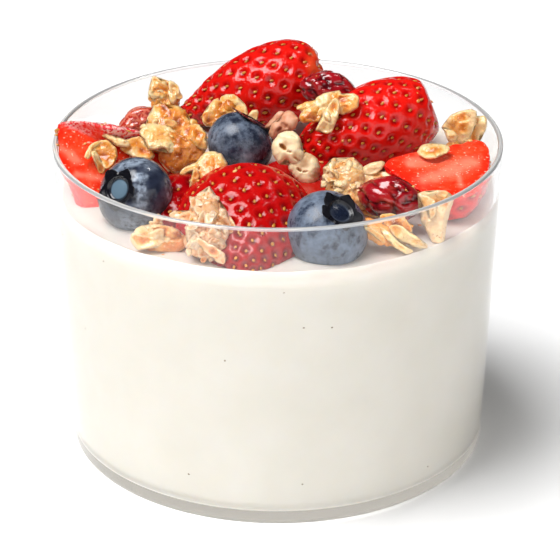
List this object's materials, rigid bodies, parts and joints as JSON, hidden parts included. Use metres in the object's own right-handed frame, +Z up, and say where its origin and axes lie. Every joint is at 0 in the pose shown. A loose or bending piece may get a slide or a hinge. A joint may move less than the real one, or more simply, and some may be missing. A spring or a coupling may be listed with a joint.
{
  "type": "yogurt parfait",
  "caption": "Yogurt parfait in a clear tapered tumbler, topped with strawberry pieces, blueberries, dried berries, nuts and lumps of granola.",
  "frame": {"origin": "centre of the tumbler's flat base, on the surface it stands on", "axes": "+Z up along the tumbler's axis, +X to the right and +Y to the back of the side that shows"},
  "size_m": [0.083, 0.083, 0.0684],
  "materials": {
    "glass": "clear and polished",
    "yogurt": "smooth, moist, off-white with small dark specks",
    "strawberry": "moist, seeded skin and paler cut faces",
    "blueberry": "waxy skin with a pale bloom",
    "dried_berry": "wrinkled and glossy",
    "nut": "dry and matt",
    "granola": "baked, part glazed with syrup"
  },
  "bodies": {
    "root": {"glass": "glass", "yogurt": "yogurt", "blueberry_left": "blueberry", "blueberry_middle": "blueberry", "blueberry_right": "blueberry", "strawberry_back": "strawberry", "strawberry_right": "strawberry", "strawberry_front": "strawberry", "strawberry_slice_left": "strawberry", "strawberry_slice_right": "strawberry", "strawberry_piece_low": "strawberry", "strawberry_slice_small": "strawberry", "dried_berry_back": "dried_berry", "dried_berry_front": "dried_berry", "dried_berry_left": "dried_berry", "nut_curl": "nut", "nut_red": "nut", "granola_cluster_left": "granola", "granola_lump_back_left": "granola", "granola_flake_middle": "granola", "granola_cluster_right_top": "granola", "granola_flake_right": "granola", "granola_cluster_front_right": "granola", "granola_slices_front": "granola", "granola_flake_front_right": "granola", "granola_cluster_front_left": "granola", "granola_chunk_front": "granola", "granola_flake_fork": "granola", "granola_flake_left": "granola", "granola_flake_left_long": "granola"}
  },
  "joints": []
}
